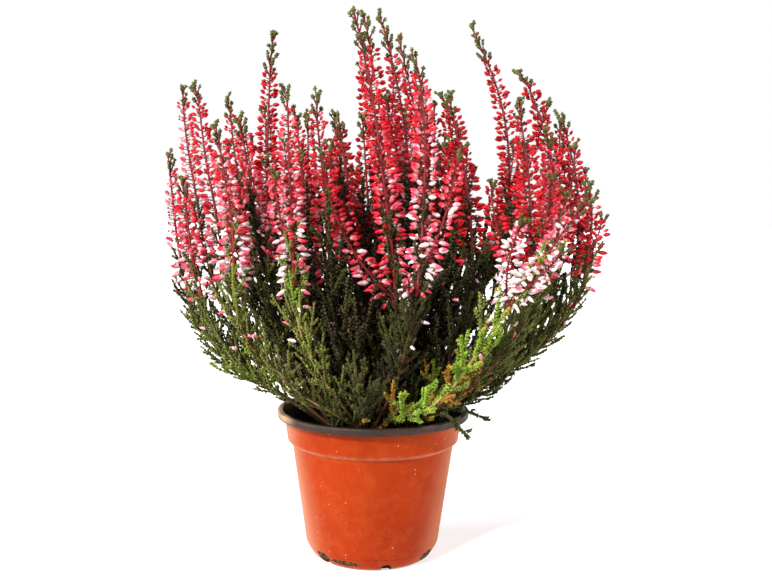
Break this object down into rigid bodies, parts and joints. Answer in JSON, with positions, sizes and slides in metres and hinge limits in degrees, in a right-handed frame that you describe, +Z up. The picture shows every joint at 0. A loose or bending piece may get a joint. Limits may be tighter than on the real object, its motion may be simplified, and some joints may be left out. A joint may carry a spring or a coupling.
{
  "type": "potted heather",
  "caption": "Flowering heather with upright pink and white bud spikes over scale-leaved shoots, rooted in peat in a thin terracotta-coloured plastic pot.",
  "frame": {"origin": "centre of the pot's underside, where it stands on the surface", "axes": "+Z up along the pot's axis; -Y towards the side the plant is seen from; +X to its right"},
  "size_m": [0.2554, 0.189, 0.311],
  "materials": {
    "pot_plastic": "satin terracotta-coloured plastic with a dark lip",
    "peat": "dark moist peat",
    "foliage": "small dark green scale leaves on brown wood",
    "flower_buds": "pink-red buds, paler to white at the base of the spikes"
  },
  "bodies": {
    "root": {"pot": "pot_plastic", "soil": "peat", "heather_centre": "foliage", "heather_right_front": "foliage", "heather_front": "foliage", "heather_left_front": "foliage", "heather_left_back": "foliage", "heather_back": "foliage", "heather_right_back": "foliage", "raceme_01": "flower_buds", "raceme_02": "flower_buds", "raceme_03": "flower_buds", "raceme_04": "flower_buds", "raceme_05": "flower_buds", "raceme_06": "flower_buds", "raceme_07": "flower_buds", "raceme_08": "flower_buds", "raceme_09": "flower_buds", "raceme_10": "flower_buds", "raceme_11": "flower_buds", "raceme_12": "flower_buds", "raceme_13": "flower_buds", "raceme_14": "flower_buds", "raceme_15": "flower_buds", "raceme_16": "flower_buds", "raceme_17": "flower_buds", "raceme_18": "flower_buds", "raceme_19": "flower_buds", "raceme_20": "flower_buds", "raceme_21": "flower_buds", "raceme_22": "flower_buds", "raceme_23": "flower_buds", "raceme_24": "flower_buds", "raceme_25": "flower_buds", "raceme_26": "flower_buds", "raceme_27": "flower_buds", "raceme_28": "flower_buds", "raceme_29": "flower_buds", "raceme_30": "flower_buds", "raceme_31": "flower_buds", "raceme_32": "flower_buds", "raceme_33": "flower_buds", "raceme_34": "flower_buds", "raceme_35": "flower_buds", "raceme_36": "flower_buds", "raceme_37": "flower_buds", "raceme_38": "flower_buds"}
  },
  "joints": []
}
